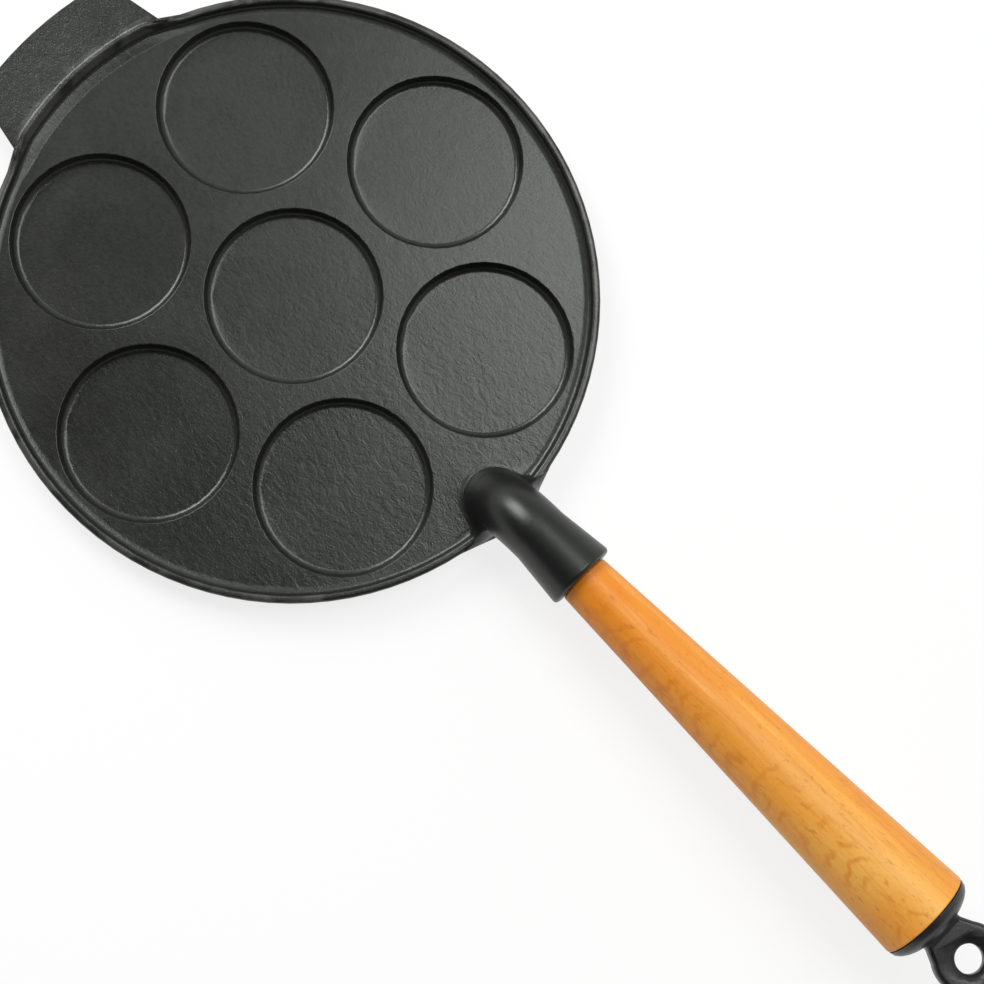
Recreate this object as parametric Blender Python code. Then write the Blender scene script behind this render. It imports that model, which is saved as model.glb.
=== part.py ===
"""Cast-iron plett pan: a plate with seven shallow wells, an assist tab and an elbow socket,
and a turned wooden handle held by a rod and a hanging eye."""

from math import asin, cos, hypot, pi, radians, sin, sqrt, tan

import bmesh
import bpy
from mathutils import Matrix, Vector

# Clearance left between pieces that touch
FIT_GAP = 0.0003

# Plate: radius, side taper, heights and the thickness left under a well
PAN_RADIUS = 0.115
SIDE_TAPER = 0.0023
FLOOR_THICKNESS = 0.0045
WELL_DEPTH = 0.0045
BASE_EDGE_ROUND = 0.0015
PLATE_SEGMENTS = 96

# Rim round the plate
RIM_HEIGHT = 0.0034
RIM_WIDTH = 0.0027
RIM_DRAFT = radians(15)
RIM_SHELF_RUN = 0.0028
RIM_SHELF_RISE = 0.00045
RIM_FOOT_FILLET = 0.0024
RIM_INNER_ROUND = 0.0008
RIM_OUTER_ROUND = 0.0012
RIM_BAND = 0.0030

# Wells: one in the middle and six round it, with the land left round and between them
WELL_MARGIN = 0.0073
WELL_WEB = 0.0075
WELL_DRAFT = radians(15)
WELL_EDGE_ROUND = 0.0006
WELL_FOOT_FILLET = 0.0024
OUTER_WELLS = 6
WELL_SEGMENTS = 40

# Assist tab, opposite the handle, and the taller rim that stands along it
TAB_REACH = 0.0223
TAB_RISE = 0.0022
TAB_RIDGE_LIP = 0.0005
TAB_THICKNESS = 0.0055
TAB_HALF_ANGLE = radians(18.5)
TAB_END_SLANT = radians(10)
TAB_CORNER_ROUND = 0.006
TAB_ROOT_ROUND = 0.002
TAB_EDGE_ROUND = 0.0012
TAB_UNDERSIDE_SLOPE = radians(6)
TAB_WALL_LEAN = 0.48
TAB_CREST_SETBACK = 0.0026
TAB_SHELF_RUN = 0.0044
TAB_SHELF_RISE = 0.0015
TAB_SHELF_FILLET = 0.0012
TAB_STEP_RUN = 0.0008
TAB_STEP_HEIGHT = 0.0006
TAB_RAMP_LEAD = radians(2)
TAB_RAMP_SPAN = radians(4.5)
TAB_ROOT_LAP = 0.0014
TAB_SKIRT_ANGLE = radians(1.3)
TAB_SKIRT_SINK = 0.0004
TAB_ROOT_STEPS = 16
TAB_ARC_STEPS = 5

# Handle axis: where it leaves the socket's mouth and how steeply it rises
MOUTH_REACH = 0.0345
MOUTH_HEIGHT = 0.0220
HANDLE_RISE = radians(5.3)

# Elbow socket, cast in one with the plate
FOOT_INSET = 0.0082
BEND_RADIUS = 0.0235
ELBOW_RADIUS = 0.0115
FOOT_FILLET = 0.0024
FOOT_FILLET_HEIGHT = 0.0040
FOOT_FILLET_START = radians(20)
PLINTH_STEP = 0.0007
PLINTH_HEIGHT = 0.0004
PLINTH_ROUND = 0.0002
CORBEL_DEPTH = 0.0066
SHOULDER_HALF_ANGLE = radians(13)
SHOULDER_SINK = 0.0002
SHOULDER_WAIST = 0.0135
SHOULDER_INNER_FILLET = 0.003
SHOULDER_FLARE = 0.0155
SHOULDER_OUTER_FILLET = 0.012
SHOULDER_NOSE_FLARE = 0.0086
SHOULDER_NOSE_ROUND = 0.007
SHOULDER_DROP = 0.0004
SHOULDER_THICKNESS = 0.0090
SHOULDER_EDGE_ROUND = 0.0014
SHOULDER_UNDERSIDE_SLOPE = radians(38)
SADDLE_RUN = 0.0050
SADDLE_WAIST = 0.0156
SADDLE_WAIST_FILLET = 0.012
SADDLE_SPREAD = 0.0230
SADDLE_OUTER_WIDTH = 0.0159
SADDLE_NOSE_WIDTH = 0.0030
SADDLE_HEIGHT = 0.0150
SADDLE_FADE = 2.0
SADDLE_SINK = 0.0004
SADDLE_LEVELS = 7
MOUTH_FLARE = 0.0023
LIP_ROUND = 0.0015
LIP_INNER_ROUND = 0.0007
RECESS_DEPTH = 0.010
ROD_ENGAGEMENT = 0.020
ELBOW_SEGMENTS = 32

# Turned wooden handle
TENON_STEP = 0.0013
WOOD_FRONT_RADIUS = 0.0099
WOOD_REAR_RADIUS = 0.0181
WOOD_LENGTH = 0.1677
WOOD_SHOULDER_ROUND = 0.0012
WOOD_EDGE_ROUND = 0.0006
WOOD_SEGMENTS = 48

# Steel rod through the wood
ROD_RADIUS = 0.0030
ROD_CHAMFER = 0.0006
ROD_SEGMENTS = 24

# Hanging eye: domed cap, neck and ring
CAP_INSET = 0.0003
CAP_BAND = 0.0004
CAP_DOME = 0.0070
CAP_HOLE_DEPTH = 0.0062
EYE_RADIUS = 0.0130
EYE_HOLE_RADIUS = 0.0053
EYE_COUNTERSINK = 0.0026
EYE_COUNTERSINK_DEPTH = 0.0016
EYE_THICKNESS = 0.0070
EYE_EDGE_ROUND = 0.0018
NECK_LENGTH = 0.0002
NECK_HALF_WIDTH = 0.0082
NECK_WAIST = 0.0004
NECK_BLEND = radians(14.3)
NECK_ROUND = 0.0030
NECK_FLARE = 0.0016
CAP_SEGMENTS = 48
EYE_ARC_STEPS = 24

# Radii and spacing that follow from the sizes above
BASE_RADIUS = PAN_RADIUS - SIDE_TAPER
WELL_RADIUS = (PAN_RADIUS - WELL_MARGIN - WELL_WEB) / 3
WELL_PITCH = 2 * WELL_RADIUS + WELL_WEB
TAB_RADIUS = PAN_RADIUS + TAB_REACH
TAB_ROOT_RADIUS = PAN_RADIUS - TAB_ROOT_LAP
SHOULDER_INNER_RADIUS = PAN_RADIUS - RIM_WIDTH - SHOULDER_SINK
MOUTH_RADIUS = ELBOW_RADIUS + MOUTH_FLARE
TENON_RADIUS = WOOD_FRONT_RADIUS - TENON_STEP
CAP_RADIUS = WOOD_REAR_RADIUS - CAP_INSET
BORE_RADIUS = ROD_RADIUS + FIT_GAP

# Levels and places that follow from the sizes above
LAND_Z = FLOOR_THICKNESS + WELL_DEPTH
RIM_Z = LAND_Z + RIM_HEIGHT
TAB_TOP_Z = RIM_Z + TAB_RISE
SHOULDER_Z = RIM_Z - SHOULDER_DROP
MOUTH = Vector((PAN_RADIUS + MOUTH_REACH, 0.0, LAND_Z + MOUTH_HEIGHT))
FOOT_X = PAN_RADIUS - FOOT_INSET
BEND_X = FOOT_X + BEND_RADIUS
BEND_Z = MOUTH.z - (MOUTH.x - BEND_X) * tan(HANDLE_RISE) - BEND_RADIUS / cos(HANDLE_RISE)
BEND_END_TILT = pi / 2 - HANDLE_RISE
HANDLE_FRAME = Matrix.Translation(MOUTH) @ Matrix.Rotation(BEND_END_TILT, 4, "Y")
CAP_SEAT = WOOD_LENGTH + FIT_GAP
EYE_CENTRE = CAP_SEAT + CAP_BAND + CAP_DOME + NECK_LENGTH + EYE_RADIUS
MERGE = 1e-6


def clear_scene():
    """Remove every object that the scene starts with."""
    for obj in list(bpy.data.objects):
        bpy.data.objects.remove(obj, do_unlink=True)


def rounded(corners, steps):
    """Points along corners given as (x, y, radius), with an arc of that radius at each."""
    points = []
    last = len(corners) - 1
    for index, (x, y, radius) in enumerate(corners):
        corner = Vector((x, y))
        if index in (0, last) or radius <= 0:
            points.append(corner)
            continue
        back = Vector(corners[index - 1][:2]) - corner
        ahead = Vector(corners[index + 1][:2]) - corner
        half = back.angle(ahead) / 2
        reach = min(radius / tan(half), 0.49 * back.length, 0.49 * ahead.length)
        bisector = (back.normalized() + ahead.normalized()).normalized()
        centre = corner + bisector * (reach / cos(half))
        start = corner + back.normalized() * reach - centre
        sweep = start.angle_signed(corner + ahead.normalized() * reach - centre)
        for step in range(steps + 1):
            turn = Matrix.Rotation(-sweep * step / steps, 2)
            points.append(centre + turn @ start)
    return points


def spin_profile(bm, profile, centre, segments, closed=False):
    """Turn (radius, height) points a full turn about a vertical axis through centre."""
    verts = [bm.verts.new(centre + Vector((r, 0.0, z))) for r, z in profile]
    edges = [bm.edges.new(pair) for pair in zip(verts, verts[1:])]
    if closed:
        edges.append(bm.edges.new((verts[-1], verts[0])))
    bmesh.ops.spin(
        bm, geom=verts + edges, cent=centre, axis=(0, 0, 1), angle=2 * pi, steps=segments, use_merge=True
    )


def loft(bm, rings, segments):
    """Skin a tube through rings, each a placement and a radius, and close both ends."""
    loops = []
    for placement, radius in rings:
        made = bmesh.ops.create_circle(
            bm, cap_ends=False, segments=segments, radius=radius, matrix=placement
        )
        loops.append(made["verts"])
    for near, far in zip(loops, loops[1:]):
        pair_edges = loop_edges(near) + loop_edges(far)
        bmesh.ops.bridge_loops(bm, edges=pair_edges)
    bm.faces.new(loops[0])
    bm.faces.new(loops[-1])


def loop_edges(verts):
    """Edges that join the given ring of vertices."""
    ring = set(verts)
    edges = {edge for vert in verts for edge in vert.link_edges if edge.other_vert(vert) in ring}
    return list(edges)


def extrude_outline(bm, outline, top, thickness, edge_round, segments, beyond=0):
    """Prism under a flat outline, its upper and lower edges rounded outside a given radius."""
    face = bm.faces.new([bm.verts.new((x, y, top)) for x, y in outline])
    made = bmesh.ops.extrude_face_region(bm, geom=[face], use_keep_orig=True)
    lower = [item for item in made["geom"] if isinstance(item, bmesh.types.BMVert)]
    bmesh.ops.translate(bm, verts=lower, vec=(0, 0, -thickness))
    bmesh.ops.recalc_face_normals(bm, faces=bm.faces)
    rims = [
        edge for edge in bm.edges
        if abs(edge.verts[0].co.z - edge.verts[1].co.z) < MERGE
        and min(vert.co.xy.length for vert in edge.verts) >= beyond
    ]
    bmesh.ops.bevel(
        bm, geom=rims, offset=edge_round, offset_type="OFFSET", segments=segments, profile=0.5,
        affect="EDGES", clamp_overlap=True, material=-1
    )
    bmesh.ops.triangulate(bm, faces=[face for face in bm.faces if len(face.verts) > 4])


def finish_mesh(bm, name, material=None):
    """Turn a bmesh into a named object with smooth round faces."""
    bmesh.ops.remove_doubles(bm, verts=bm.verts, dist=MERGE)
    bmesh.ops.recalc_face_normals(bm, faces=bm.faces)
    mesh = bpy.data.meshes.new(name)
    bm.to_mesh(mesh)
    bm.free()
    mesh.shade_smooth()
    mesh.set_sharp_from_angle(angle=radians(35))
    if material:
        mesh.materials.append(material)
    obj = bpy.data.objects.new(name, mesh)
    bpy.context.scene.collection.objects.link(obj)
    return obj


def as_tool(obj):
    """Mark an object that only adds to or cuts another one."""
    obj.hide_render = True
    obj.display_type = "WIRE"
    return obj


def combine(obj, tool, operation):
    """Join a tool to an object, or cut it away."""
    modifier = obj.modifiers.new(f"{operation.lower()}_{tool.name}", "BOOLEAN")
    modifier.operation = operation
    modifier.solver = "EXACT"
    modifier.object = tool


def surface(name, colour, roughness, metallic):
    """Plain material with the piece's own colour."""
    material = bpy.data.materials.new(name)
    material.use_nodes = True
    shader = material.node_tree.nodes["Principled BSDF"]
    shader.inputs["Base Color"].default_value = (*colour, 1.0)
    shader.inputs["Roughness"].default_value = roughness
    shader.inputs["Metallic"].default_value = metallic
    return material


def rim_section(crest, crest_z, lean, shelf_run, shelf_rise, step_run, step_height, fillet):
    """Half section from the land over a rim and down the side to the middle of the base."""
    foot = crest - (crest_z - LAND_Z - shelf_rise) * lean
    corners = [
        (foot - shelf_run, LAND_Z, 0),
        (foot - shelf_run + step_run, LAND_Z + step_height, 0),
        (foot, LAND_Z + shelf_rise, fillet),
        (crest, crest_z, RIM_INNER_ROUND),
        (crest + RIM_WIDTH, crest_z, RIM_OUTER_ROUND),
        (PAN_RADIUS, RIM_Z - RIM_BAND, 0),
        (BASE_RADIUS, 0, BASE_EDGE_ROUND),
        (0, 0, 0),
    ]
    return rounded(corners, 3)


def low_rim():
    """Section of the rim where nothing joins it: a gentle shelf, a fillet and a drafted wall."""
    crest = PAN_RADIUS - RIM_WIDTH
    return rim_section(
        crest, RIM_Z, tan(RIM_DRAFT), RIM_SHELF_RUN, RIM_SHELF_RISE, RIM_SHELF_RUN / 4,
        RIM_SHELF_RISE / 8, RIM_FOOT_FILLET
    )


def tall_rim():
    """Section of the rim along the tab: a low step, a sloping shelf and a wall leaning outwards."""
    crest = PAN_RADIUS - RIM_WIDTH + TAB_CREST_SETBACK
    return rim_section(
        crest, TAB_TOP_Z + TAB_RIDGE_LIP, TAB_WALL_LEAN, TAB_SHELF_RUN, TAB_SHELF_RISE, TAB_STEP_RUN,
        TAB_STEP_HEIGHT, TAB_SHELF_FILLET
    )


def well_profile():
    """Half section of a well from the land down to the middle of its floor."""
    foot = WELL_RADIUS - WELL_DEPTH * tan(WELL_DRAFT)
    corners = [
        (WELL_RADIUS + WELL_EDGE_ROUND, LAND_Z, 0),
        (WELL_RADIUS, LAND_Z, WELL_EDGE_ROUND),
        (foot, FLOOR_THICKNESS, WELL_FOOT_FILLET),
        (0, FLOOR_THICKNESS, 0),
    ]
    return rounded(corners, 3)


def well_centres():
    """Middle well and the six round it, with the handle between two of them."""
    centres = [Vector((0, 0, 0))]
    for index in range(OUTER_WELLS):
        turn = 2 * pi * (index + 0.5) / OUTER_WELLS
        centres.append(Vector((WELL_PITCH * cos(turn), WELL_PITCH * sin(turn), 0)))
    return centres


def raise_rim_at_tab(bm):
    """Turn the rim's low section into the tall one along the tab."""
    pairs = list(zip(low_rim(), tall_rim()))
    opposite = Vector((-1, 0))
    for vert in bm.verts:
        flat = vert.co.xy
        here = Vector((flat.length, vert.co.z))
        low, tall = min(pairs, key=lambda pair: (Vector(pair[0]) - here).length)
        if flat.length < MERGE:
            continue
        beyond = (flat.angle(opposite) - TAB_HALF_ANGLE + TAB_RAMP_LEAD) / TAB_RAMP_SPAN
        share = 0.5 + 0.5 * cos(pi * min(max(beyond, 0), 1))
        radius, height = Vector(low).lerp(Vector(tall), share)
        vert.co = Vector((*(flat.normalized() * radius), height))


def plate(material):
    """Plate with its rim, wells and flat land between them."""
    bm = bmesh.new()
    spin_profile(bm, low_rim(), Vector((0, 0, 0)), PLATE_SEGMENTS)
    raise_rim_at_tab(bm)
    for centre in well_centres():
        spin_profile(bm, well_profile(), centre, WELL_SEGMENTS)
    bmesh.ops.remove_doubles(bm, verts=bm.verts, dist=MERGE)
    borders = [edge for edge in bm.edges if edge.is_boundary]
    bmesh.ops.triangle_fill(bm, use_beauty=True, use_dissolve=False, edges=borders, normal=(0, 0, 1))
    return finish_mesh(bm, "pan_casting", material)


def tab_outline():
    """Plan of the assist tab: slanted ends, rounded corners and an outer arc round the pan."""
    root = Vector((PAN_RADIUS * cos(TAB_HALF_ANGLE), PAN_RADIUS * sin(TAB_HALF_ANGLE)))
    run = TAB_RADIUS - root.x
    tip_y = root.y - run * tan(TAB_END_SLANT)
    tip_x = sqrt(TAB_RADIUS**2 - tip_y**2)
    tip_angle = asin(tip_y / TAB_RADIUS)
    turns = [tip_angle * step / TAB_ARC_STEPS for step in range(TAB_ARC_STEPS - 2, -1, -1)]
    skirt = TAB_HALF_ANGLE + TAB_SKIRT_ANGLE
    rim_side = PAN_RADIUS - TAB_SKIRT_SINK
    half = [
        (TAB_ROOT_RADIUS * cos(skirt), TAB_ROOT_RADIUS * sin(skirt), 0),
        (rim_side * cos(skirt), rim_side * sin(skirt), 0),
        (root.x, root.y, TAB_ROOT_ROUND),
        (tip_x, tip_y, TAB_CORNER_ROUND),
        (TAB_RADIUS * cos(turns[0]), TAB_RADIUS * sin(turns[0]), 0),
    ]
    side = [Vector((-point.x, point.y)) for point in rounded(half, 5)]
    side += [Vector((-TAB_RADIUS * cos(turn), TAB_RADIUS * sin(turn))) for turn in turns[1:]]
    side += [Vector((point.x, -point.y)) for point in reversed(side[:-1])]
    for step in range(1, TAB_ROOT_STEPS):
        turn = skirt * (2 * step / TAB_ROOT_STEPS - 1)
        side.append(Vector((-TAB_ROOT_RADIUS * cos(turn), TAB_ROOT_RADIUS * sin(turn))))
    return side


def assist_tab():
    """Flat tab that a second hand holds, sloping up to a thinner edge underneath."""
    bm = bmesh.new()
    outline = tab_outline()
    extrude_outline(bm, outline, TAB_TOP_Z, TAB_THICKNESS, TAB_EDGE_ROUND, 2, beyond=PAN_RADIUS)
    middle = TAB_TOP_Z - TAB_THICKNESS / 2
    for vert in bm.verts:
        flat = vert.co.xy
        if flat.length < TAB_ROOT_RADIUS + MERGE and flat.angle(Vector((-1, 0))) < TAB_HALF_ANGLE:
            lean = (vert.co.z - middle) * TAB_WALL_LEAN
            vert.co.xy = flat.normalized() * (TAB_ROOT_RADIUS + lean)
        if vert.co.z < middle:
            vert.co.z += (abs(vert.co.x) - TAB_RADIUS) * tan(TAB_UNDERSIDE_SLOPE)
    return as_tool(finish_mesh(bm, "assist_tab_form"))


def shoulder_outline():
    """Plan of the shoulder that spreads the elbow's foot into the rim on both sides."""
    inner = SHOULDER_INNER_RADIUS
    outer = PAN_RADIUS - RIM_OUTER_ROUND / 4
    spread = SHOULDER_HALF_ANGLE
    nose = FOOT_X + ELBOW_RADIUS
    half = [
        (FOOT_X, 0, 0),
        (FOOT_X, ELBOW_RADIUS - FIT_GAP, 0),
        (inner, SHOULDER_WAIST, SHOULDER_INNER_FILLET),
        (inner * cos(spread), inner * sin(spread), 0),
        (outer * cos(spread), outer * sin(spread), 0),
        (PAN_RADIUS + SHOULDER_DROP, SHOULDER_FLARE, SHOULDER_OUTER_FILLET),
        (nose - FIT_GAP, SHOULDER_NOSE_FLARE, SHOULDER_NOSE_ROUND),
        (nose, 0, 0),
    ]
    side = rounded(half, 4)
    return side + [Vector((point.x, -point.y)) for point in reversed(side[1:-1])]


def socket_shoulder():
    """Shoulder under the elbow, just below the rim's crest and sloping away underneath."""
    bm = bmesh.new()
    extrude_outline(bm, shoulder_outline(), SHOULDER_Z, SHOULDER_THICKNESS, SHOULDER_EDGE_ROUND, 2)
    middle = SHOULDER_Z - SHOULDER_THICKNESS / 2
    band = RIM_Z - RIM_BAND
    for vert in bm.verts:
        taper = SIDE_TAPER * max(band - vert.co.z, 0) / band
        if vert.co.z < middle and vert.co.x > BASE_RADIUS:
            vert.co.z += (vert.co.x - BASE_RADIUS) * tan(SHOULDER_UNDERSIDE_SLOPE)
        vert.co.xy *= 1 - taper / PAN_RADIUS
    return as_tool(finish_mesh(bm, "socket_shoulder_form"))


def elbow_half_width(x, z):
    """Half width just inside the elbow's round body at a place beside its bend."""
    off = hypot(BEND_X - x, z - BEND_Z) - BEND_RADIUS
    return sqrt(max((ELBOW_RADIUS - SADDLE_SINK) ** 2 - off**2, 0))


def saddle_outline():
    """Plan of the saddle's foot: a waist beside the elbow that runs out along the rim."""
    start = FOOT_X - SADDLE_RUN
    rim_wall = PAN_RADIUS - RIM_WIDTH
    nose = FOOT_X + ELBOW_RADIUS - 3 * FIT_GAP
    half = [
        (start, 0, 0),
        (start, elbow_half_width(start, LAND_Z), 0),
        (rim_wall - RIM_FOOT_FILLET, SADDLE_WAIST, SADDLE_WAIST_FILLET),
        (rim_wall + RIM_INNER_ROUND, SADDLE_SPREAD, 0),
        (PAN_RADIUS + FIT_GAP, SADDLE_OUTER_WIDTH, 0),
        (nose, SADDLE_NOSE_WIDTH, 0),
        (nose, 0, 0),
    ]
    side = rounded(half, 5)
    return side + [Vector((point.x, -point.y)) for point in reversed(side[1:-1])]


def saddle_ring(outline, height):
    """Plan of the saddle at a height above the land, drawn in as it rises and under the rim."""
    ring = []
    for point in outline:
        over_rim = point.x > PAN_RADIUS - RIM_WIDTH
        floor = SHOULDER_Z - SHOULDER_EDGE_ROUND if over_rim else LAND_Z
        z = max(LAND_Z + height, floor)
        fade = ((LAND_Z + SADDLE_HEIGHT - z) / (LAND_Z + SADDLE_HEIGHT - floor)) ** SADDLE_FADE
        beside = abs(point.y) - elbow_half_width(point.x, floor)
        tuck = max(floor - LAND_Z - height, 0)
        width = max(elbow_half_width(point.x, z) + beside * fade - tuck, SADDLE_SINK)
        side = 0 if abs(point.y) < MERGE else width * point.y / abs(point.y)
        ring.append((point.x, side, LAND_Z + height))
    return ring


def elbow_saddle():
    """Steep sides that carry the elbow down into the land and the rim."""
    outline = saddle_outline()
    bm = bmesh.new()
    loops = []
    for level in range(-1, SADDLE_LEVELS + 1):
        ring = saddle_ring(outline, SADDLE_HEIGHT * level / SADDLE_LEVELS)
        loops.append([bm.verts.new(place) for place in ring])
    for low, high in zip(loops, loops[1:]):
        for index in range(len(outline)):
            ahead = (index + 1) % len(outline)
            bm.faces.new((low[index], low[ahead], high[ahead], high[index]))
    bm.faces.new(loops[0])
    bm.faces.new(loops[-1])
    bmesh.ops.triangulate(bm, faces=bm.faces[:])
    return as_tool(finish_mesh(bm, "elbow_saddle_form"))


def foot_plinth():
    """Low step on the land round the inner end of the elbow's foot."""
    radius = ELBOW_RADIUS + FOOT_FILLET / 2
    top = LAND_Z + PLINTH_HEIGHT
    corners = [
        (0, LAND_Z - PLINTH_HEIGHT, 0),
        (radius, LAND_Z - PLINTH_HEIGHT, 0),
        (radius, top, PLINTH_ROUND),
        (0, top, 0),
    ]
    bm = bmesh.new()
    centre = Vector((FOOT_X - FOOT_FILLET / 2 - PLINTH_STEP, 0, 0))
    spin_profile(bm, rounded(corners, 2), centre, ELBOW_SEGMENTS)
    return as_tool(finish_mesh(bm, "foot_plinth_form"))


def foot_rings():
    """Rings of the elbow's foot: the corbel below the land, then the fillet above it."""
    rings = []
    for share in (0.98, 0.85, 0.6, 0.3):
        radius = ELBOW_RADIUS * sqrt(1 - share**2)
        place = Vector((FOOT_X, 0, LAND_Z - CORBEL_DEPTH * share))
        rings.append((Matrix.Translation(place), radius))
    start = FOOT_FILLET_START
    sink = FOOT_FILLET_HEIGHT * (1 - cos(start)) + FIT_GAP / 3
    for step in range(4):
        turn = start + (pi / 2 - start) * step / 3
        height = FOOT_FILLET_HEIGHT * (1 - cos(turn)) - sink
        spread = FOOT_FILLET * (1 - sin(turn))
        lean = asin((LAND_Z + height - BEND_Z) / BEND_RADIUS)
        x = FOOT_X + BEND_RADIUS * (1 - cos(lean)) - spread / 2
        rings.append((Matrix.Translation((x, 0, LAND_Z + height)), ELBOW_RADIUS + spread / 2))
    return rings, lean


def bend_rings(start):
    """Rings round the bend, turning from flat at the foot to square on the handle axis."""
    rings = []
    steps = 10
    for step in range(1, steps + 1):
        share = step / steps
        lean = start + (BEND_END_TILT - start) * share
        place = Vector((BEND_X - BEND_RADIUS * cos(lean), 0, BEND_Z + BEND_RADIUS * sin(lean)))
        turn = Matrix.Rotation(BEND_END_TILT * share, 4, "Y")
        rings.append((Matrix.Translation(place) @ turn, ELBOW_RADIUS))
    return rings


def socket_rings(bend_end):
    """Rings of the straight socket, round its lip, down the recess and the rod's blind hole."""
    recess_radius = TENON_RADIUS + FIT_GAP
    corners = [
        (ELBOW_RADIUS, bend_end, 0),
        (MOUTH_RADIUS, 0, LIP_ROUND),
        (recess_radius, 0, LIP_INNER_ROUND),
        (recess_radius, -RECESS_DEPTH, 0),
        (BORE_RADIUS, -RECESS_DEPTH, 0),
        (BORE_RADIUS, -RECESS_DEPTH - ROD_ENGAGEMENT, 0),
    ]
    points = rounded(corners, 3)[1:]
    return [(HANDLE_FRAME @ Matrix.Translation((0, 0, along)), radius) for radius, along in points]


def elbow_socket():
    """Elbow that grows out of the land, bends outwards and ends in the handle's socket."""
    bend_end = -(MOUTH.x - BEND_X + BEND_RADIUS * sin(HANDLE_RISE)) / cos(HANDLE_RISE)
    foot, lean = foot_rings()
    bm = bmesh.new()
    loft(bm, foot + bend_rings(lean) + socket_rings(bend_end), ELBOW_SEGMENTS)
    return as_tool(finish_mesh(bm, "elbow_socket_form"))


def pan_casting():
    """The one iron casting: plate, wells, rim, assist tab and elbow socket."""
    casting = plate(surface("cast_iron", (0.045, 0.045, 0.043), 0.6, 0.5))
    combine(casting, assist_tab(), "UNION")
    combine(casting, socket_shoulder(), "UNION")
    combine(casting, foot_plinth(), "UNION")
    combine(casting, elbow_saddle(), "UNION")
    combine(casting, elbow_socket(), "UNION")
    return casting


def wooden_handle():
    """Turned beech handle with a tenon at its thin end, bored through for the rod."""
    corners = [
        (BORE_RADIUS, FIT_GAP - RECESS_DEPTH, 0),
        (TENON_RADIUS, FIT_GAP - RECESS_DEPTH, WOOD_EDGE_ROUND),
        (TENON_RADIUS, FIT_GAP, 0),
        (WOOD_FRONT_RADIUS, FIT_GAP, WOOD_SHOULDER_ROUND),
        (WOOD_REAR_RADIUS, WOOD_LENGTH, WOOD_EDGE_ROUND),
        (BORE_RADIUS, WOOD_LENGTH, 0),
    ]
    bm = bmesh.new()
    spin_profile(bm, rounded(corners, 3), Vector((0, 0, 0)), WOOD_SEGMENTS, closed=True)
    return finish_mesh(bm, "wooden_handle", surface("beech", (0.72, 0.36, 0.10), 0.45, 0.0))


def handle_rod():
    """Steel rod from the socket's blind hole through the wood into the cap."""
    front = -RECESS_DEPTH - ROD_ENGAGEMENT + FIT_GAP
    rear = WOOD_LENGTH + CAP_HOLE_DEPTH
    profile = [
        (0, front),
        (ROD_RADIUS - ROD_CHAMFER, front),
        (ROD_RADIUS, front + ROD_CHAMFER),
        (ROD_RADIUS, rear - ROD_CHAMFER),
        (ROD_RADIUS - ROD_CHAMFER, rear),
        (0, rear),
    ]
    bm = bmesh.new()
    spin_profile(bm, profile, Vector((0, 0, 0)), ROD_SEGMENTS)
    return finish_mesh(bm, "handle_rod", surface("steel", (0.45, 0.45, 0.46), 0.35, 1.0))


def eye_cap(material):
    """Domed cap over the wood's thick end."""
    profile = [Vector((0, CAP_SEAT)), Vector((CAP_RADIUS, CAP_SEAT))]
    for step in range(9):
        turn = pi / 2 * step / 8
        profile.append(Vector((CAP_RADIUS * cos(turn), CAP_SEAT + CAP_BAND + CAP_DOME * sin(turn))))
    bm = bmesh.new()
    spin_profile(bm, profile, Vector((0, 0, 0)), CAP_SEGMENTS)
    return finish_mesh(bm, "hanging_eye", material)


def eye_outline():
    """Plan of the neck and ring, with the neck's hollow sides running into the ring."""
    join = asin(NECK_HALF_WIDTH / EYE_RADIUS) + NECK_BLEND
    half = [
        (CAP_SEAT + CAP_DOME / 3, NECK_HALF_WIDTH + NECK_ROUND, 0),
        (CAP_SEAT + CAP_BAND + CAP_DOME, NECK_HALF_WIDTH - NECK_WAIST, NECK_ROUND),
        (EYE_CENTRE - EYE_RADIUS * cos(join), EYE_RADIUS * sin(join), 0),
    ]
    side = rounded(half, 5)
    for step in range(1, EYE_ARC_STEPS):
        turn = join + (pi - join) * step / EYE_ARC_STEPS
        side.append(Vector((EYE_CENTRE - EYE_RADIUS * cos(turn), EYE_RADIUS * sin(turn))))
    tip = Vector((EYE_CENTRE + EYE_RADIUS, 0))
    return side + [tip] + [Vector((point.x, -point.y)) for point in reversed(side)]


def eye_ring():
    """Neck and flat ring, thicker where the neck meets the cap."""
    bm = bmesh.new()
    extrude_outline(bm, eye_outline(), EYE_THICKNESS / 2, EYE_THICKNESS, EYE_EDGE_ROUND, 3)
    dome_end = CAP_SEAT + CAP_BAND + CAP_DOME
    for share in (0.0, 0.3, 0.6, 1.0):
        geometry = bm.verts[:] + bm.edges[:] + bm.faces[:]
        plane = (dome_end - NECK_ROUND / 2 + share * NECK_ROUND, 0, 0)
        bmesh.ops.bisect_plane(bm, geom=geometry, plane_co=plane, plane_no=(1, 0, 0), dist=MERGE)
    for vert in bm.verts:
        ahead = (vert.co.x - dome_end + NECK_ROUND / 2) / NECK_ROUND
        fade = 1 - min(max(ahead, 0), 1)
        vert.co.z *= 1 + fade**2 * NECK_FLARE / (EYE_THICKNESS / 2)
    bmesh.ops.transform(bm, matrix=Matrix.Rotation(-pi / 2, 4, "Y"), verts=bm.verts)
    return as_tool(finish_mesh(bm, "eye_ring_form"))


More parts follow.
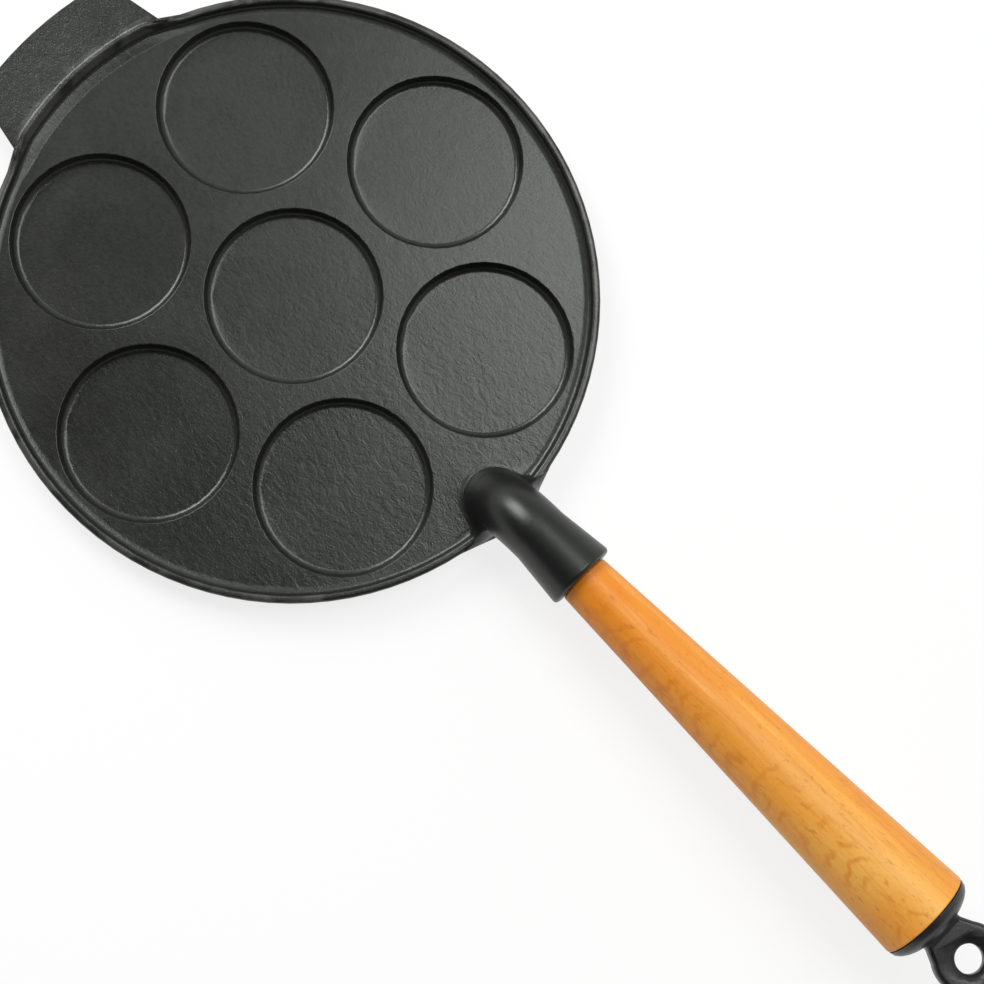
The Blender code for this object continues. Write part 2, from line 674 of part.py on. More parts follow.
def eye_hole():
    """Cutter for the hanging hole, countersunk on both faces."""
    reach = EYE_THICKNESS
    face = EYE_THICKNESS / 2
    wide = EYE_HOLE_RADIUS + EYE_COUNTERSINK
    slope = EYE_COUNTERSINK / EYE_COUNTERSINK_DEPTH
    beyond = wide + slope * (reach - face)
    waist = face - EYE_COUNTERSINK_DEPTH
    profile = [(0, reach), (beyond, reach), (EYE_HOLE_RADIUS, waist)]
    profile += [(EYE_HOLE_RADIUS, -waist), (beyond, -reach), (0, -reach)]
    bm = bmesh.new()
    spin_profile(bm, profile, Vector((0, 0, 0)), CAP_SEGMENTS)
    turn = Matrix.Translation((0, 0, EYE_CENTRE)) @ Matrix.Rotation(pi / 2, 4, "Y")
    bmesh.ops.transform(bm, matrix=turn, verts=bm.verts)
    return as_tool(finish_mesh(bm, "eye_hole_form"))


def rod_hole():
    """Cutter for the blind hole that takes the rod's rear end."""
    start, end = CAP_SEAT - ROD_RADIUS, CAP_SEAT + CAP_HOLE_DEPTH
    bm = bmesh.new()
    spin_profile(bm, [(0, start), (BORE_RADIUS, start), (BORE_RADIUS, end), (0, end)],
                 Vector((0, 0, 0)), ROD_SEGMENTS)
    return as_tool(finish_mesh(bm, "rod_hole_form"))


def hanging_eye():
    """Cast cap, neck and ring, with the hanging hole and the rod's hole cut."""
    eye = eye_cap(surface("cast_iron_eye", (0.03, 0.03, 0.03), 0.5, 0.5))
    ring, hole, socket = eye_ring(), eye_hole(), rod_hole()
    combine(eye, ring, "UNION")
    combine(eye, hole, "DIFFERENCE")
    combine(eye, socket, "DIFFERENCE")
    return eye, ring, hole, socket


def build():
    """Make every piece and set the handle's pieces on their axis."""
    clear_scene()
    pan_casting()
    axis = bpy.data.objects.new("handle_axis", None)
    axis.matrix_world = HANDLE_FRAME
    bpy.context.scene.collection.objects.link(axis)
    for piece in (wooden_handle(), handle_rod(), *hanging_eye()):
        piece.parent = axis


build()
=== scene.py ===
"""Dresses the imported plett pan: sand-cast iron, a turned beech handle and a soft studio."""

import logging
from dataclasses import dataclass, field
from enum import Enum
from math import radians, tau
from typing import Any, Protocol, Union

import bmesh
import bpy
from mathutils import Matrix, Vector

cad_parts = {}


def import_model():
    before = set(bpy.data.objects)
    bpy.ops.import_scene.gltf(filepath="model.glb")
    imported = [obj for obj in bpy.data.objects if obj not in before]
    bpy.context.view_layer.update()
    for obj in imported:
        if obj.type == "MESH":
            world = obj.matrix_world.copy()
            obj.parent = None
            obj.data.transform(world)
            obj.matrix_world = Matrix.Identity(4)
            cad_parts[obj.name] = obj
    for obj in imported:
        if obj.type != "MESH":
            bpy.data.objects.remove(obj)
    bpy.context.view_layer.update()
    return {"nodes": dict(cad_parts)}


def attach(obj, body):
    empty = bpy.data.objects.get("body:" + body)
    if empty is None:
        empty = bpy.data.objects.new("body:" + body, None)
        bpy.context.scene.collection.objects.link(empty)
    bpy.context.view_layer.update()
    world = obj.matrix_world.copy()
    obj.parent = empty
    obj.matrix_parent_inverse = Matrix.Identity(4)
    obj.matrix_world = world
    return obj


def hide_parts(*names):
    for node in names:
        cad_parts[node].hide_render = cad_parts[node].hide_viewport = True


logging.basicConfig(level=logging.INFO, format="%(message)s")
log = logging.getLogger("plett_pan")

BODY = "root"
MERGE_DISTANCE = 2e-6
EVEN_SHADING_WEIGHT = 50
LEATHER_GRAIN = 0.0027
SAND_GRAIN = 0.0008
NOISE_MIDDLE = 0.5
WHITE = (1.0, 1.0, 1.0)

# Numbers of the sockets of a Mix node for colours, and of a Mix Shader node.
MIX_SHARE, MIX_FIRST, MIX_SECOND, MIX_RESULT = 0, 6, 7, 2
SHADER_SHARE, SHADER_FIRST, SHADER_SECOND = 0, 1, 2

Number = Union["Wire", float]
Triple = tuple[float, float, float]
Colour = Triple
Socket = bpy.types.NodeSocket
# Where a smooth step starts and where it ends.
Step = tuple[float, float]


class Slot(Enum):
    """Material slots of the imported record."""

    IRON = "cast_iron"
    BEECH = "beech"
    STEEL = "steel"
    EYE_IRON = "cast_iron_eye"


@dataclass(frozen=True)
class PanLayout:
    """Places on the pan that the finishes follow, in metres and radians."""

    land: float = 0.0090
    rim_inner: float = 0.1123
    rim_top: float = 0.0124
    tab_crest: float = 0.1176
    foot_x: float = 0.1068
    mouth: Triple = (0.1495, 0.0, 0.0310)
    rise: float = radians(5.3)
    wood_length: float = 0.1677


LAYOUT = PanLayout()


@dataclass(frozen=True)
class Pattern:
    """One noise: features for each metre, a factor for each axis, octaves and swirl."""

    scale: float = 1.0
    stretch: Triple = (1.0, 1.0, 1.0)
    detail: float = 2.0
    rough: float = 0.5
    swirl: float = 0.0


class Wire:
    """A number socket that takes part in expressions and adds their Math nodes."""

    def __init__(self, recipe: "Recipe", socket: Socket) -> None:
        """Keeps the socket and the recipe that its nodes go into."""
        self.recipe = recipe
        self.socket = socket

    def __add__(self, other: Number) -> "Wire":
        """Sum."""
        return self.recipe.maths("ADD", self, other)

    def __radd__(self, other: Number) -> "Wire":
        """Sum with a plain number first."""
        return self.recipe.maths("ADD", other, self)

    def __sub__(self, other: Number) -> "Wire":
        """Difference."""
        return self.recipe.maths("SUBTRACT", self, other)

    def __rsub__(self, other: Number) -> "Wire":
        """Difference from a plain number."""
        return self.recipe.maths("SUBTRACT", other, self)

    def __mul__(self, other: Number) -> "Wire":
        """Product."""
        return self.recipe.maths("MULTIPLY", self, other)

    def __rmul__(self, other: Number) -> "Wire":
        """Product with a plain number first."""
        return self.recipe.maths("MULTIPLY", other, self)

    def __truediv__(self, other: Number) -> "Wire":
        """Quotient."""
        return self.recipe.maths("DIVIDE", self, other)

    def __rtruediv__(self, other: Number) -> "Wire":
        """Quotient of a plain number."""
        return self.recipe.maths("DIVIDE", other, self)

    def __abs__(self) -> "Wire":
        """Size without its sign."""
        return self.recipe.maths("ABSOLUTE", self)


class Recipe:
    """A node tree written as expressions."""

    def __init__(self, tree: bpy.types.NodeTree) -> None:
        """Starts on an emptied tree.

        Args:
            tree: Tree that the nodes go into.
        """
        self.tree = tree
        self.tree.nodes.clear()

    def plug(self, socket: Socket, value: Any) -> None:
        """Links a value to a socket, or writes a constant on it.

        Args:
            socket: Input to feed.
            value: A Wire, a socket, a number, a colour or a vector.
        """
        if isinstance(value, Wire):
            value = value.socket
        if isinstance(value, Socket):
            self.tree.links.new(value, socket)
        elif socket.type == "RGBA" and len(value) == 3:
            socket.default_value = (*value, 1.0)
        else:
            socket.default_value = value

    def node(self, kind: str, settings: dict[str, Any] | None = None,
             inputs: dict[str | int, Any] | None = None) -> bpy.types.Node:
        """Adds any node.

        Args:
            kind: Type of the node.
            settings: Properties that are set first.
            inputs: Values or links by socket name or number.

        Returns:
            The new node.
        """
        made = self.tree.nodes.new(kind)
        for key, value in (settings or {}).items():
            setattr(made, key, value)
        for key, value in (inputs or {}).items():
            self.plug(made.inputs[key], value)
        return made

    def maths(self, operation: str, *values: Number) -> Wire:
        """Adds a Math node.

        Args:
            operation: Its operation.
            *values: Wires or numbers.

        Returns:
            The result.
        """
        made = self.node("ShaderNodeMath", {"operation": operation}, dict(enumerate(values)))
        return Wire(self, made.outputs[0])

    def smooth(self, value: Wire, low: float, high: float) -> Wire:
        """Smooth step from 0 at low to 1 at high.

        Args:
            value: Number that is compared.
            low: Where the step starts.
            high: Where it ends; below low, the step falls instead.

        Returns:
            The mask.
        """
        made = self.node(
            "ShaderNodeMapRange", {"interpolation_type": "SMOOTHSTEP", "clamp": True},
            {"Value": value, "From Min": low, "From Max": high})
        return Wire(self, made.outputs["Result"])

    def distance(self, x: Wire, y: Wire) -> Wire:
        """Distance from the pan's upright axis."""
        return self.maths("SQRT", x * x + y * y)

    def place(self, rotation: Triple = (0.0, 0.0, 0.0),
              shift: Triple = (0.0, 0.0, 0.0)) -> Socket:
        """Object coordinates through a Mapping node.

        Args:
            rotation: Turn of the pattern.
            shift: Shift after the turn.

        Returns:
            The vector socket.
        """
        coordinates = self.node("ShaderNodeTexCoord").outputs["Object"]
        made = self.node("ShaderNodeMapping", {"vector_type": "POINT"},
                         {"Vector": coordinates, "Location": shift, "Rotation": rotation})
        return made.outputs["Vector"]

    def split(self, vector: Socket) -> tuple[Wire, Wire, Wire]:
        """The three parts of a vector as numbers."""
        made = self.node("ShaderNodeSeparateXYZ", inputs={"Vector": vector})
        return tuple(Wire(self, made.outputs[axis]) for axis in "XYZ")

    def noise(self, vector: Socket, pattern: Pattern) -> Wire:
        """Noise from 0 to 1 about the middle.

        Args:
            vector: Where it is read.
            pattern: Its fineness, stretch and octaves.

        Returns:
            The noise value.
        """
        stretched = self.node("ShaderNodeVectorMath", {"operation": "MULTIPLY"},
                              {0: vector, 1: pattern.stretch})
        made = self.node("ShaderNodeTexNoise", {"noise_dimensions": "3D"}, {
            "Vector": stretched.outputs[0], "Scale": pattern.scale, "Detail": pattern.detail,
            "Roughness": pattern.rough, "Distortion": pattern.swirl})
        return Wire(self, made.outputs["Fac"])

    def cells(self, vector: Socket, scale: float) -> Wire:
        """Distance to the nearest of scattered points.

        Args:
            vector: Where it is read.
            scale: Points for each metre.

        Returns:
            The distance in cell units.
        """
        made = self.node("ShaderNodeTexVoronoi", {"feature": "F1"},
                         {"Vector": vector, "Scale": scale})
        return Wire(self, made.outputs["Distance"])

    def blend(self, share: Number, first: Any, second: Any) -> Socket:
        """Mixes two colours.

        Args:
            share: Share of the second colour.
            first: Colour or socket.
            second: Colour or socket.

        Returns:
            The mixed colour.
        """
        made = self.node("ShaderNodeMix", {"data_type": "RGBA", "clamp_factor": True},
                         {MIX_SHARE: share, MIX_FIRST: first, MIX_SECOND: second})
        return made.outputs[MIX_RESULT]


class Finish(Recipe):
    """The node tree of one material, with its Principled shader."""

    def __init__(self, name: str) -> None:
        """Starts an empty material with its output and Principled shader.

        Args:
            name: Name of the material.
        """
        self.material = bpy.data.materials.new(name)
        self.material.use_nodes = True
        super().__init__(self.material.node_tree)
        self.shader = self.node("ShaderNodeBsdfPrincipled")
        self.output = self.node("ShaderNodeOutputMaterial",
                                inputs={"Surface": self.shader.outputs[0]})

    def bump(self, height: Wire, distance: float) -> None:
        """Feeds a height to the shader's normal.

        Args:
            height: Height as a share of the distance.
            distance: Real height of a share of 1, in metres.
        """
        made = self.node("ShaderNodeBump", inputs={
            "Height": height, "Distance": distance, "Strength": 1.0})
        self.plug(self.shader.inputs["Normal"], made.outputs["Normal"])

    def feed(self, **sockets: Any) -> None:
        """Writes or links the shader's inputs, named with underscores for spaces."""
        for name, value in sockets.items():
            self.plug(self.shader.inputs[name.replace("_", " ")], value)


class FinishMaker(Protocol):
    """Anything that makes one material."""

    def make(self) -> bpy.types.Material:
        """Builds the material."""


@dataclass(frozen=True)
class CastIronFinish:
    """Seasoned sand-cast iron: leathery grain, mottling, a worn crest and a smoother elbow."""

    dark: Colour = (0.0072, 0.0076, 0.0070)
    light: Colour = (0.0165, 0.0171, 0.0160)
    worn: Colour = (0.070, 0.071, 0.068)
    polished: Colour = (0.0060, 0.0064, 0.0060)
    sheen: Colour = (0.955, 1.0, 0.94)
    ior: float = 1.5

    leather: Pattern = Pattern(1 / LEATHER_GRAIN, stretch=(0.6, 1.0, 1.0), detail=3.0,
                               rough=0.6, swirl=0.7)
    sand: Pattern = Pattern(1 / SAND_GRAIN, rough=0.6, swirl=0.2)
    waves: Pattern = Pattern(75.0, detail=3.0, rough=0.55, swirl=0.4)
    mottle: Pattern = Pattern(24.0, detail=4.0, rough=0.6, swirl=0.6)
    speck: Pattern = Pattern(620.0, rough=0.7)
    pit_scale: float = 0.7 / SAND_GRAIN
    pit_step: Step = (0.05, 0.45)

    tone_step: Step = (0.36, 0.64)
    mottle_share: float = 0.5
    speck_share: float = 0.5

    leather_share: float = 0.72
    sand_share: float = 0.20
    pit_share: float = 0.12
    wave_share: float = 0.5
    grain_height: float = 0.00012

    coarse_least: float = 0.60
    coarse_gain: float = 0.90
    coarse_slant: float = 0.7
    coarse_step: Step = (-0.06, 0.10)
    tab_step: Step = (-0.108, -0.116)
    tab_gain: float = 0.9

    polish_back: Step = (0.016, 0.010)
    polish_rise: Step = (0.0015, 0.0060)
    polish_calm: float = 0.85

    crest_in: Step = (0.0004, 0.0002)
    crest_out: Step = (0.0012, 0.0002)
    crest_height: float = 0.0010
    wear_step: Step = (0.42, 0.62)
    wear_share: float = 0.7

    roughness: float = 0.31
    polished_roughness: float = 0.35
    sand_gloss: float = 0.12
    mottle_gloss: float = 0.08

    def make(self) -> bpy.types.Material:
        """Builds the material.

        Returns:
            The material.
        """
        r = Finish(Slot.IRON.value)
        at = r.place()
        x, y, z = r.split(at)
        sand = r.noise(at, self.sand)
        waves = r.noise(at, self.waves)
        mottle = r.noise(at, self.mottle)
        polish = self.elbow(r, x, z)

        tone = mottle * self.mottle_share + r.noise(at, self.speck) * self.speck_share
        base = r.blend(r.smooth(tone, *self.tone_step), self.dark, self.light)
        worn = self.crest(r, r.distance(x, y), z) * r.smooth(waves, *self.wear_step)
        base = r.blend(worn * (1 - polish) * self.wear_share, base, self.worn)
        base = r.blend(polish, base, self.polished)

        leather = r.noise(at, self.leather)
        pits = r.smooth(r.cells(at, self.pit_scale), *self.pit_step)
        grain = leather * self.leather_share + sand * self.sand_share + pits * self.pit_share
        coarse = (r.smooth(x - y * self.coarse_slant, *self.coarse_step) * self.coarse_gain
                  + self.coarse_least + r.smooth(x, *self.tab_step) * self.tab_gain)
        height = grain * coarse * (1 - polish * self.polish_calm) + waves * self.wave_share

        rough = self.roughness + (sand - NOISE_MIDDLE) * self.sand_gloss
        rough = rough + (mottle - NOISE_MIDDLE) * self.mottle_gloss
        rough = rough + polish * (self.polished_roughness - self.roughness)
        r.feed(Base_Color=base, Roughness=rough, Metallic=0.0, IOR=self.ior,
               Specular_Tint=self.sheen)
        r.bump(height, self.grain_height)
        return r.material

    def elbow(self, r: Recipe, x: Wire, z: Wire) -> Wire:
        """Mask of the smoother elbow and socket.

        Args:
            r: Recipe that the nodes go into.
            x: Distance towards the handle.
            z: Height.

        Returns:
            The mask.
        """
        beyond = r.smooth(x, *(LAYOUT.foot_x - back for back in self.polish_back))
        return beyond * r.smooth(z, *(LAYOUT.land + rise for rise in self.polish_rise))

    def crest(self, r: Recipe, radius: Wire, z: Wire) -> Wire:
        """Mask of the rim's crest, where the seasoning wears.

        Args:
            r: Recipe that the nodes go into.
            radius: Distance from the pan's axis.
            z: Height.

        Returns:
            The mask.
        """
        before, after = self.crest_in
        inside = r.smooth(radius, LAYOUT.rim_inner - before, LAYOUT.rim_inner + after)
        outside = r.smooth(radius, *(LAYOUT.tab_crest + past for past in self.crest_out))
        high = r.smooth(z, LAYOUT.rim_top - self.crest_height, LAYOUT.rim_top)
        return inside * outside * high


@dataclass(frozen=True)
class EyeIronFinish:
    """Smoother black iron of the hanging eye."""

    dark: Colour = (0.0085, 0.0087, 0.0085)
    light: Colour = (0.018, 0.0185, 0.0178)
    ior: float = 1.5
    sand: Pattern = Pattern(900.0, detail=3.0, rough=0.6, swirl=0.2)
    fine: Pattern = Pattern(2600.0, rough=0.6)
    mottle: Pattern = Pattern(90.0, detail=3.0, rough=0.6, swirl=0.5)
    tone_step: Step = (0.35, 0.65)
    sand_share: float = 0.7
    fine_share: float = 0.3
    grain_height: float = 0.00007
    roughness: float = 0.36
    sand_gloss: float = 0.2

    def make(self) -> bpy.types.Material:
        """Builds the material.

        Returns:
            The material.
        """
        r = Finish(Slot.EYE_IRON.value)
        at = r.place()
        sand = r.noise(at, self.sand)
        mottle = r.noise(at, self.mottle)
        base = r.blend(r.smooth(mottle, *self.tone_step), self.dark, self.light)
        rough = self.roughness + (sand - NOISE_MIDDLE) * self.sand_gloss
        r.feed(Base_Color=base, Roughness=rough, Metallic=0.0, IOR=self.ior)
        r.bump(sand * self.sand_share + r.noise(at, self.fine) * self.fine_share,
               self.grain_height)
        return r.material


@dataclass(frozen=True)
class BeechFinish:
    """Oiled beech: orange at the socket, paler at the thick end, with figure and ray flecks, and
    painted shade that darkens its +Y and -Y sides.
    """

    near: Colour = (0.690, 0.212, 0.009)
    far: Colour = (0.800, 0.415, 0.084)
    warm: Colour = (0.740, 0.270, 0.022)
    deep: Colour = (0.470, 0.128, 0.006)
    pale: Colour = (0.860, 0.500, 0.150)
    flame: Colour = (0.580, 0.158, 0.008)
    fleck: Colour = (0.360, 0.085, 0.005)

    bands: Pattern = Pattern(stretch=(5.0, 110.0, 110.0), detail=3.0, swirl=0.9)
    streaks: Pattern = Pattern(stretch=(16.0, 420.0, 420.0), detail=3.0, rough=0.6, swirl=0.5)
    dashes: Pattern = Pattern(stretch=(210.0, 800.0, 800.0), detail=1.0, swirl=0.8)
    pores: Pattern = Pattern(stretch=(620.0, 2600.0, 2600.0), detail=1.0, swirl=0.2)
    warp: Pattern = Pattern(stretch=(60.0, 150.0, 150.0), detail=1.4, swirl=0.2)
    patches: Pattern = Pattern(stretch=(36.0, 90.0, 90.0), swirl=0.4)
    drifts: Pattern = Pattern(stretch=(9.0, 62.0, 62.0), swirl=0.3)

    end_margin: float = 0.01
    # Painted shade: the +Y side, which faces the key lamp, is made warmer and darker to hold its
    # light back.
    painted_shade_side_step: Step = (0.003, 0.013)
    painted_shade_side_warm: float = 0.80
    painted_shade_side_deep: float = 0.10
    drift_step: Step = (0.46, 0.60)
    drift_share: float = 0.42

    pale_step: Step = (0.53, 0.66)
    # Painted shade: the pale bands fade out towards the -Y side, away from the lamps, so it
    # stays darker and redder.
    painted_shade_low_side_step: Step = (-0.010, -0.002)
    pale_share: float = 0.48
    deep_step: Step = (0.48, 0.32)
    deep_share: float = 0.14
    # Extra deep bands on that +Y side are painted shade too.
    painted_shade_deep_gain: float = 0.20
    streak_step: Step = (0.50, 0.74)
    streak_share: float = 0.28

    end_patch_back: Step = (0.026, 0.010)
    end_patch_side: Step = (0.004, -0.008)
    end_patch_share: float = 0.60

    figure_side: float = 0.0058
    figure_slant: float = 0.015
    figure_pitch: float = 0.0088
    figure_bend: float = 9000.0
    figure_warp: float = 1.8
    figure_width: Step = (0.0085, 0.0030)
    scallop_step: Step = (0.25, 1.0)
    patch_step: Step = (0.40, 0.56)
    figure_share: float = 0.52

    dash_step: Step = (0.64, 0.72)
    dash_share: float = 0.34
    pore_step: Step = (0.62, 0.72)
    pore_share: float = 0.26

    roughness: float = 0.50
    streak_gloss: float = 0.18
    ior: float = 1.48
    specular: float = 0.40
    streak_height: float = 0.55
    dash_height: float = 0.25
    pore_height: float = 0.20
    grain_height: float = 0.00005

    def make(self) -> bpy.types.Material:
        """Builds the material on coordinates that run along the handle.

        Returns:
            The material.
        """
        r = Finish(Slot.BEECH.value)
        mouth = Matrix.Rotation(LAYOUT.rise, 3, "Y") @ Vector(LAYOUT.mouth)
        at = r.place(rotation=(0.0, LAYOUT.rise, 0.0), shift=tuple(-mouth))
        x, y, _ = r.split(at)
        streaks = r.noise(at, self.streaks)
        dashes = r.noise(at, self.dashes)
        pores = r.noise(at, self.pores)

        base = self.ground(r, at, x, y)
        # Painted shade on the +Y side, which faces the key lamp.
        painted_shade_side = r.smooth(y, *self.painted_shade_side_step)
        streaked = r.smooth(streaks, *self.streak_step) * self.streak_share
        base = r.blend(streaked + painted_shade_side * self.painted_shade_side_deep, base, self.deep)
        end_patch = r.smooth(x, *(LAYOUT.wood_length - back for back in self.end_patch_back))
        end_patch = end_patch * r.smooth(y, *self.end_patch_side)
        base = r.blend(end_patch * self.end_patch_share, base, self.warm)
        base = r.blend(self.figure(r, at, x, y) * self.figure_share, base, self.flame)
        base = r.blend(r.smooth(dashes, *self.dash_step) * self.dash_share, base, self.fleck)
        base = r.blend(r.smooth(pores, *self.pore_step) * self.pore_share, base, self.fleck)

        rough = self.roughness + (streaks - NOISE_MIDDLE) * self.streak_gloss
        r.feed(Base_Color=base, Roughness=rough, Metallic=0.0, IOR=self.ior,
               Specular_IOR_Level=self.specular)
        grain = streaks * self.streak_height + dashes * self.dash_height
        r.bump(grain + pores * self.pore_height, self.grain_height)
        return r.material

    def ground(self, r: Recipe, at: Socket, x: Wire, y: Wire) -> Socket:
        """Colour of the wood before its marks, with painted shade on its sides.

        Args:
            r: Recipe that the nodes go into.
            at: Coordinates along the handle.
            x: Distance from the socket's mouth.
            y: Distance to the side.

        Returns:
            The colour.
        """
        bands = r.noise(at, self.bands)
        # Painted shade on the +Y side, which faces the key lamp.
        painted_shade_side = r.smooth(y, *self.painted_shade_side_step)
        along = r.smooth(x, -self.end_margin, LAYOUT.wood_length + self.end_margin)
        base = r.blend(along, self.near, self.far)
        drifts = r.smooth(r.noise(at, self.drifts), *self.drift_step) * self.drift_share
        warm = r.maths("MAXIMUM", drifts, painted_shade_side * self.painted_shade_side_warm)
        base = r.blend(warm, base, self.warm)
        # Painted shade: the pale bands are kept off the +Y side and fade out towards the -Y
        # side.
        pale = r.smooth(bands, *self.pale_step) * (1 - painted_shade_side)
        pale = pale * r.smooth(y, *self.painted_shade_low_side_step) * self.pale_share
        base = r.blend(pale, base, self.pale)
        share = self.deep_share + painted_shade_side * self.painted_shade_deep_gain
        return r.blend(r.smooth(bands, *self.deep_step) * share, base, self.deep)

    def figure(self, r: Recipe, at: Socket, x: Wire, y: Wire) -> Wire:
        """Mask of the nested arcs of late wood along one side.

        Args:
            r: Recipe that the nodes go into.
            at: Coordinates along the handle.
            x: Distance from the socket's mouth.
            y: Distance to the side.

        Returns:
            The mask.
        """
        aside = y + x * self.figure_slant + self.figure_side
        arcs = x / self.figure_pitch - aside * aside * self.figure_bend
        arcs = arcs + r.noise(at, self.warp) * self.figure_warp
        scallops = r.smooth(r.maths("SINE", arcs * tau), *self.scallop_step)
        patches = r.smooth(r.noise(at, self.patches), *self.patch_step)
        return scallops * r.smooth(abs(aside), *self.figure_width) * patches


@dataclass(frozen=True)
class SteelFinish:
    """Drawn steel rod, hidden in the wood."""

    colour: Colour = (0.45, 0.45, 0.46)
    lines: Pattern = Pattern(stretch=(20.0, 900.0, 900.0))
    roughness: float = 0.28
    line_gloss: float = 0.2

    def make(self) -> bpy.types.Material:
        """Builds the material.

        Returns:
            The material.
        """
        r = Finish(Slot.STEEL.value)
        lines = r.noise(r.place(), self.lines)
        r.feed(Base_Color=self.colour, Roughness=self.roughness + lines * self.line_gloss,
               Metallic=1.0)
        return r.material


def smooth_copy(node: bpy.types.Object, name: str, sharp: float) -> bpy.types.Object:
    """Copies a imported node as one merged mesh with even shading.

    Args:
        node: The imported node.
        name: Name of the copy.
        sharp: Angle in radians above which an edge stays crisp.

    Returns:
        The new object.
    """
    bm = bmesh.new()
    bm.from_mesh(node.data)
    bmesh.ops.remove_doubles(bm, verts=bm.verts, dist=MERGE_DISTANCE)
    mesh = bpy.data.meshes.new(name)
    bm.to_mesh(mesh)
    bm.free()
    mesh.shade_smooth()
    mesh.set_sharp_from_angle(angle=sharp)
    copy = bpy.data.objects.new(name, mesh)
    bpy.context.scene.collection.objects.link(copy)
    even = copy.modifiers.new("even_shading", "WEIGHTED_NORMAL")
    even.mode = "FACE_AREA"
    even.weight = EVEN_SHADING_WEIGHT
    even.keep_sharp = True
    return copy


def coat(piece: bpy.types.Object, finish: FinishMaker) -> None:
    """Gives a piece its only material."""
    piece.data.materials.clear()
    piece.data.materials.append(finish.make())


@dataclass
class Skin:
    """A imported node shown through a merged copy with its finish."""

    node: str
    slot: Slot
    finish: FinishMaker
    sharp: float

    def build(self, nodes: dict[str, bpy.types.Object]) -> bpy.types.Object:
        """Makes the copy, dresses it and lets it stand for the node.

        Args:
            nodes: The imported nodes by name.

        Returns:
            The shown piece.
        """
        piece = smooth_copy(nodes[self.node], f"{self.node}_skin", self.sharp)
        coat(piece, self.finish)
        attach(piece, BODY)
        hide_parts(self.node)
        return piece


@dataclass
class PanAssembly:
    """The pan's four pieces: three shown through skins, and the hidden rod."""

    skins: list[Skin] = field(default_factory=lambda: [
        Skin("pan_casting", Slot.IRON, CastIronFinish(), sharp=radians(42)),
        Skin("wooden_handle", Slot.BEECH, BeechFinish(), sharp=radians(40)),
        Skin("hanging_eye", Slot.EYE_IRON, EyeIronFinish(), sharp=radians(42)),
    ])
    hidden_node: str = "handle_rod"
    hidden_finish: FinishMaker = SteelFinish()

    def build(self, nodes: dict[str, bpy.types.Object]) -> list[bpy.types.Object]:
        """Dresses every node.

        Args:
            nodes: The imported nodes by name.

        Returns:
            The dressed pieces.
        """
        pieces = [skin.build(nodes) for skin in self.skins]
        rod = nodes[self.hidden_node]
        coat(rod, self.hidden_finish)
        return [*pieces, rod]


@dataclass(frozen=True)
class SoftBox:
    """One square area lamp, in metres and watts."""

    name: str
    place: Triple
    aim: Triple
    size: float
    power: float

    def build(self) -> bpy.types.Object:
        """Hangs the lamp, facing its aim.

        Returns:
            The lamp.
        """
        data = bpy.data.lights.new(self.name, "AREA")
        data.shape = "SQUARE"
        data.size = self.size
        data.energy = self.power
        lamp = bpy.data.objects.new(self.name, data)
        away = Vector(self.place) - Vector(self.aim)
        turn = away.to_track_quat("Z", "Y").to_matrix().to_4x4()
        lamp.matrix_world = Matrix.Translation(self.place) @ turn
        bpy.context.scene.collection.objects.link(lamp)
        return lamp


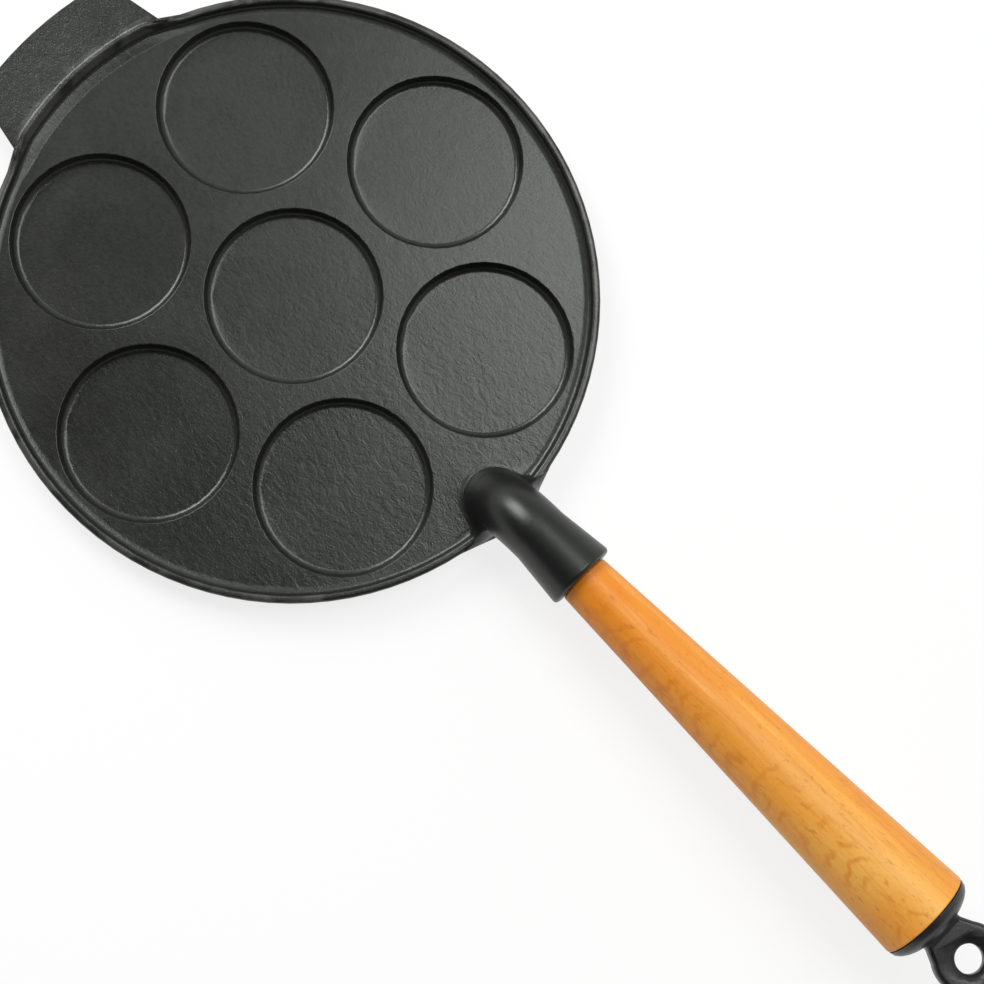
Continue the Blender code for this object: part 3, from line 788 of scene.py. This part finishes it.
@dataclass
class Studio:
    """Pale floor, soft lamps, even surroundings and the camera above the pan."""

    floor_half: float = 15.0
    floor_drop: float = 0.0003
    floor_colour: Colour = (0.90, 0.90, 0.90)
    floor_roughness: float = 0.9
    floor_specular: float = 0.1
    floor_glow: float = 0.80
    shadow_reach: Step = (0.45, 1.35)

    horizon_step: Step = (0.34, 0.10)
    window_towards: Step = (0.25, 0.97)
    window_step: Step = (0.05, 0.65)
    window_strength: float = 0.62
    sky_dark: float = 0.04

    lamps: tuple[SoftBox, ...] = (
        SoftBox("soft_box_key", place=(0.09, 0.60, 1.5), aim=(0.05, 0.05, 0.0),
                size=0.72, power=11.2),
        SoftBox("soft_box_left", place=(-1.68, 0.18, 1.42), aim=(0.1, 0.0, 0.0),
                size=1.15, power=45.0),
    )

    # The camera was fitted to the rim and the seven wells in the photograph.
    camera_place: Triple = (0.119127, -0.084109, 0.692204)
    camera_right: Triple = (0.702687, 0.707749, 0.072960)
    camera_down: Triple = (0.711169, -0.695535, -0.102320)
    camera_ahead: Triple = (-0.021670, 0.123786, -0.992072)
    focal_pixels: float = 1850.0
    frame_pixels: float = 984.0
    sensor_width: float = 36.0
    clip_start: float = 0.01

    def build(self) -> list[bpy.types.Object]:
        """Makes the floor, the surroundings, the lamps and the camera.

        Returns:
            The floor, the lamps and the camera.
        """
        floor = self.floor()
        self.sky()
        lamps = [lamp.build() for lamp in self.lamps]
        return [floor, *lamps, self.camera()]

    def floor(self) -> bpy.types.Object:
        """Lays the pale floor, which keeps the shadow and is white further off.

        Returns:
            The floor.
        """
        bm = bmesh.new()
        bmesh.ops.create_grid(bm, x_segments=1, y_segments=1, size=self.floor_half)
        bmesh.ops.translate(bm, verts=bm.verts, vec=(0, 0, -self.floor_drop))
        mesh = bpy.data.meshes.new("floor")
        bm.to_mesh(mesh)
        bm.free()
        piece = bpy.data.objects.new("floor", mesh)
        bpy.context.scene.collection.objects.link(piece)
        r = Finish("pale_floor")
        r.feed(Base_Color=self.floor_colour, Roughness=self.floor_roughness,
               Specular_IOR_Level=self.floor_specular)
        path = r.node("ShaderNodeLightPath").outputs
        seen = r.maths("MAXIMUM", Wire(r, path["Is Camera Ray"]), Wire(r, path["Is Glossy Ray"]))
        seen = r.maths("MAXIMUM", seen, Wire(r, path["Is Transmission Ray"]))
        glow = r.node("ShaderNodeEmission", inputs={"Color": WHITE, "Strength": 1.0})
        x, y, _ = r.split(r.place())
        away = r.smooth(r.distance(x, y), *self.shadow_reach)
        share = self.floor_glow + away * (1.0 - self.floor_glow)
        mix = r.node("ShaderNodeMixShader", inputs={
            SHADER_SHARE: seen * share, SHADER_FIRST: r.shader.outputs[0],
            SHADER_SECOND: glow.outputs[0]})
        r.plug(r.output.inputs["Surface"], mix.outputs[0])
        mesh.materials.append(r.material)
        return piece

    def sky(self) -> None:
        """Surroundings: white at the horizon, pale towards +Y and dark elsewhere overhead."""
        world = bpy.data.worlds.new("studio")
        world.use_nodes = True
        r = Recipe(world.node_tree)
        direction = r.node("ShaderNodeTexCoord").outputs["Generated"]
        x, y, z = r.split(direction)
        horizon = r.smooth(z, *self.horizon_step)
        along_x, along_y = self.window_towards
        window = r.smooth(x * along_x + y * along_y, *self.window_step) * self.window_strength
        strength = r.maths("MAXIMUM", horizon, window + self.sky_dark)
        back = r.node("ShaderNodeBackground", inputs={"Color": WHITE, "Strength": strength})
        r.node("ShaderNodeOutputWorld", inputs={"Surface": back.outputs[0]})
        bpy.context.scene.world = world

    def camera(self) -> bpy.types.Object:
        """Sets the camera at the viewing angle of the photograph.

        Returns:
            The camera.
        """
        data = bpy.data.cameras.new("camera")
        data.sensor_width = self.sensor_width
        data.lens = self.focal_pixels / self.frame_pixels * self.sensor_width
        data.clip_start = self.clip_start
        camera = bpy.data.objects.new("camera", data)
        axes = (Vector(self.camera_right), -Vector(self.camera_down),
                -Vector(self.camera_ahead))
        turn = Matrix(axes).transposed().to_4x4()
        camera.matrix_world = Matrix.Translation(self.camera_place) @ turn
        bpy.context.scene.collection.objects.link(camera)
        bpy.context.scene.camera = camera
        return camera


def main() -> None:
    """Loads the frame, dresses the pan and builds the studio."""
    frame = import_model()
    for piece in PanAssembly().build(frame["nodes"]):
        log.info("%s: %d faces", piece.name, len(piece.data.polygons))
    for piece in Studio().build():
        log.info("%s: %s", piece.name, piece.type.lower())
    bpy.context.scene.view_settings.view_transform = "Standard"


if __name__ == "__main__":
    main()
